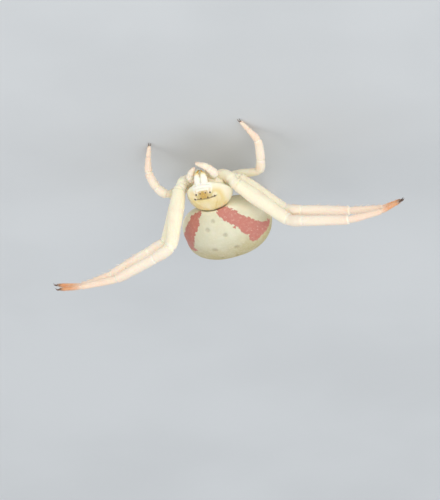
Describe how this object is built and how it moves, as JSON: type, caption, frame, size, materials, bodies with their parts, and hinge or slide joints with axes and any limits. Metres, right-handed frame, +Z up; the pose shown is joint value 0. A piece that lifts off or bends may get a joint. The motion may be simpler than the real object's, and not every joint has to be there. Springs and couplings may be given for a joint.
{
  "type": "crab spider",
  "caption": "Life-size female flower crab spider, standing on its short hind legs with its long front legs raised and spread, and a round pale abdomen.",
  "frame": {"origin": "on the floor, under the middle of the bounding box", "axes": "+X to the spider's left along the spread front legs, -Y to its head, +Z up"},
  "size_m": [0.0262, 0.0118, 0.0088],
  "materials": {
    "leg": "satin, slightly translucent cream cuticle with fine hairs",
    "tarsus": "satin tan cuticle, darker to the claws",
    "carapace": "satin amber cuticle with a white ridge across the face",
    "chelicera": "satin white cuticle",
    "abdomen": "soft greenish white skin with two dusty pink bands",
    "eye": "gloss black lens"
  },
  "bodies": {
    "root": {"abdomen": "abdomen", "carapace": "carapace", "chelicera_left": "chelicera", "chelicera_right": "chelicera", "eye_lateral_front_left": "eye", "eye_lateral_front_right": "eye", "eye_lateral_rear_left": "eye", "eye_lateral_rear_right": "eye", "eye_median_front_left": "eye", "eye_median_front_right": "eye", "eye_median_rear_left": "eye", "eye_median_rear_right": "eye", "leg1_left_coxa": "leg", "leg1_left_femur": "leg", "leg1_left_metatarsus": "leg", "leg1_left_tarsus": "tarsus", "leg1_left_tibia": "leg", "leg1_right_coxa": "leg", "leg1_right_femur": "leg", "leg1_right_metatarsus": "leg", "leg1_right_tarsus": "tarsus", "leg1_right_tibia": "leg", "leg2_left_coxa": "leg", "leg2_left_femur": "leg", "leg2_left_metatarsus": "leg", "leg2_left_tarsus": "tarsus", "leg2_left_tibia": "leg", "leg2_right_coxa": "leg", "leg2_right_femur": "leg", "leg2_right_metatarsus": "leg", "leg2_right_tarsus": "tarsus", "leg2_right_tibia": "leg", "leg3_left_coxa": "leg", "leg3_left_femur": "leg", "leg3_left_metatarsus": "leg", "leg3_left_tarsus": "tarsus", "leg3_left_tibia": "leg", "leg3_right_coxa": "leg", "leg3_right_femur": "leg", "leg3_right_metatarsus": "leg", "leg3_right_tarsus": "tarsus", "leg3_right_tibia": "leg", "leg4_left_coxa": "leg", "leg4_left_femur": "leg", "leg4_left_metatarsus": "leg", "leg4_left_tarsus": "tarsus", "leg4_left_tibia": "leg", "leg4_right_coxa": "leg", "leg4_right_femur": "leg", "leg4_right_metatarsus": "leg", "leg4_right_tarsus": "tarsus", "leg4_right_tibia": "leg", "palp_left": "leg", "palp_right": "leg", "pedicel": "leg", "spinnerets": "leg", "sternum": "leg"}
  },
  "joints": []
}
